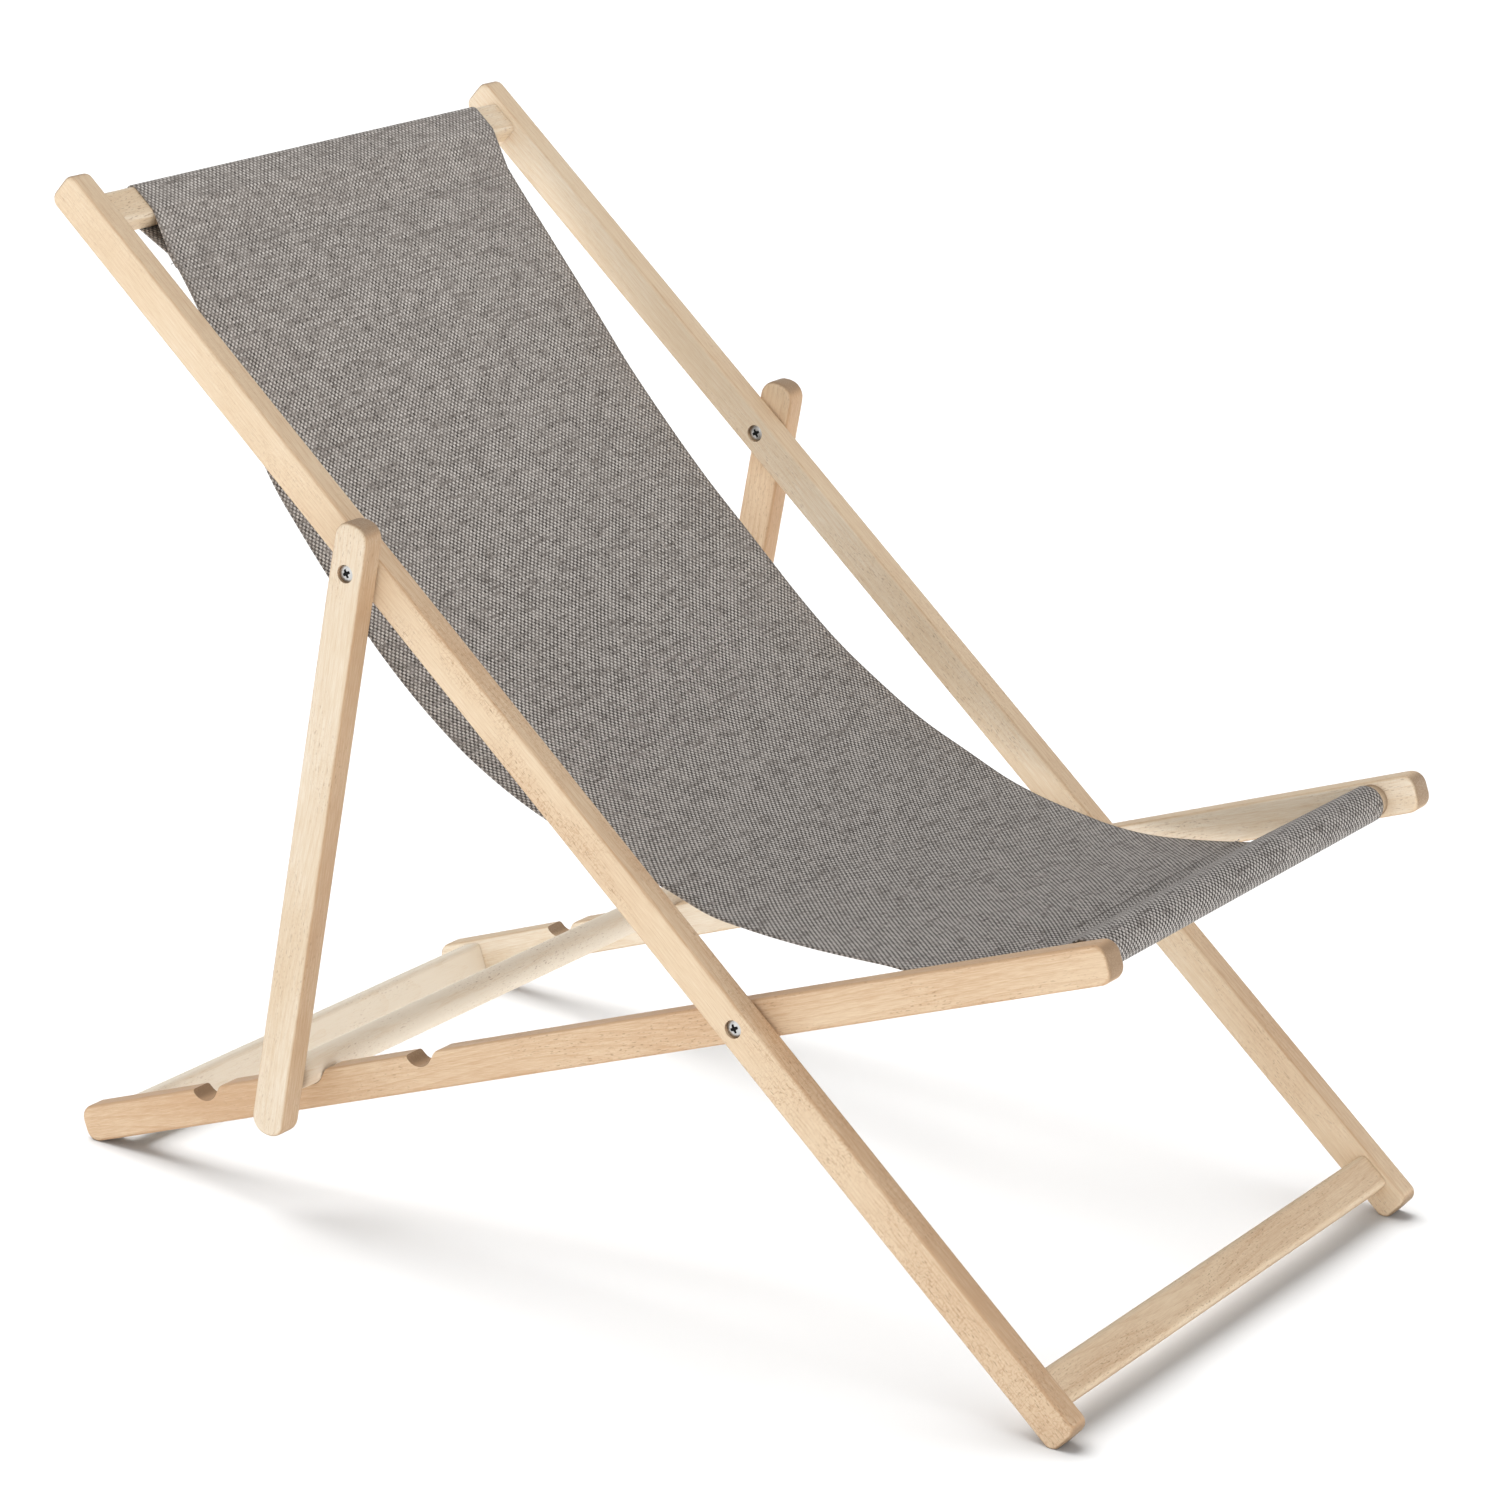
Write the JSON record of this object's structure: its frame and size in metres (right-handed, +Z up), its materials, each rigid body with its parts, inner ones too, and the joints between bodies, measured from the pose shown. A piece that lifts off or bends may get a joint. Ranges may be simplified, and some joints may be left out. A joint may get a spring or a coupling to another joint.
{
  "type": "folding deck chair",
  "caption": "Folding deck chair of nested wooden frames on screwed pivots, with a notched recline rest and a sagging fabric sling between a top bar and a front bar.",
  "frame": {"origin": "on the floor, at the bottom centre of the bounding box", "axes": "+Z up; X over the chair's width, +X the sitter's left; the sitter faces -Y, so the back rises towards +Y"},
  "size_m": [0.596, 0.932, 0.7865],
  "materials": {
    "beech": "sanded, unvarnished",
    "steel": "zinc plated",
    "sling_fabric": "coarse melange plain weave"
  },
  "bodies": {
    "back_frame": {"long_rail_left": "beech", "long_rail_right": "beech", "top_crossbar": "beech", "foot_crossbar": "beech", "seat_pivot_screw_left": "steel", "seat_pivot_nut_left": "steel", "seat_pivot_washer_left": "steel", "prop_pivot_screw_left": "steel", "prop_pivot_nut_left": "steel", "prop_pivot_washer_left": "steel", "seat_pivot_screw_right": "steel", "seat_pivot_nut_right": "steel", "seat_pivot_washer_right": "steel", "prop_pivot_screw_right": "steel", "prop_pivot_nut_right": "steel", "prop_pivot_washer_right": "steel", "fabric_sling": "sling_fabric"},
    "seat_frame": {"seat_rail_left": "beech", "seat_rail_right": "beech", "seat_rear_crossbar": "beech", "seat_front_dowel": "beech"},
    "prop_frame": {"prop_leg_left": "beech", "prop_leg_right": "beech", "prop_dowel": "beech"}
  },
  "joints": [
    {"name": "seat_pivot", "type": "hinge", "parent": "back_frame", "child": "seat_frame", "pos_m": [0, -0.16968, 0.2503], "axis": [1, 0, 0], "range_deg": [-112, 0], "deforming": ["fabric_sling"]},
    {"name": "prop_pivot", "type": "hinge", "parent": "back_frame", "child": "prop_frame", "pos_m": [0, 0.16815, 0.53377], "axis": [1, 0, 0], "range_deg": [-50.4, 0]}
  ],
  "couplings": [
    {"joint": "prop_pivot", "follows": "seat_pivot", "ratio": 0.45}
  ]
}
